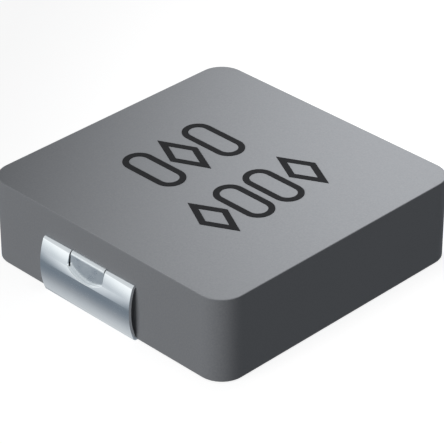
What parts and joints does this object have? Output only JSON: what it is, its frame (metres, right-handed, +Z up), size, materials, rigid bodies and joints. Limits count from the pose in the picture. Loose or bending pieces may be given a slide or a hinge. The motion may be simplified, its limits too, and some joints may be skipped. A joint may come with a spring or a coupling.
{
  "type": "shielded smd inductor",
  "caption": "Square flat moulded power inductor with bowed tinned terminals on two opposite sides and solder pads underneath.",
  "frame": {"origin": "middle of the outline in plan, on the plane of the solder pads", "axes": "+X runs from terminal to terminal, +Y across the terminals, +Z up through the printed face"},
  "size_m": [0.0134, 0.0126, 0.0036],
  "materials": {
    "powder_block": "pressed iron powder and binder, dark gray, fine grain, matte",
    "tinned_strip": "bright tin plating on copper, smooth",
    "flat_wire": "enamelled flat copper wire, its ends stripped and tinned",
    "ink": "black printing ink, thin and matte"
  },
  "bodies": {
    "root": {"core_body": "powder_block", "winding": "flat_wire", "terminal_left": "tinned_strip", "terminal_right": "tinned_strip", "top_marking": "ink"}
  },
  "joints": []
}
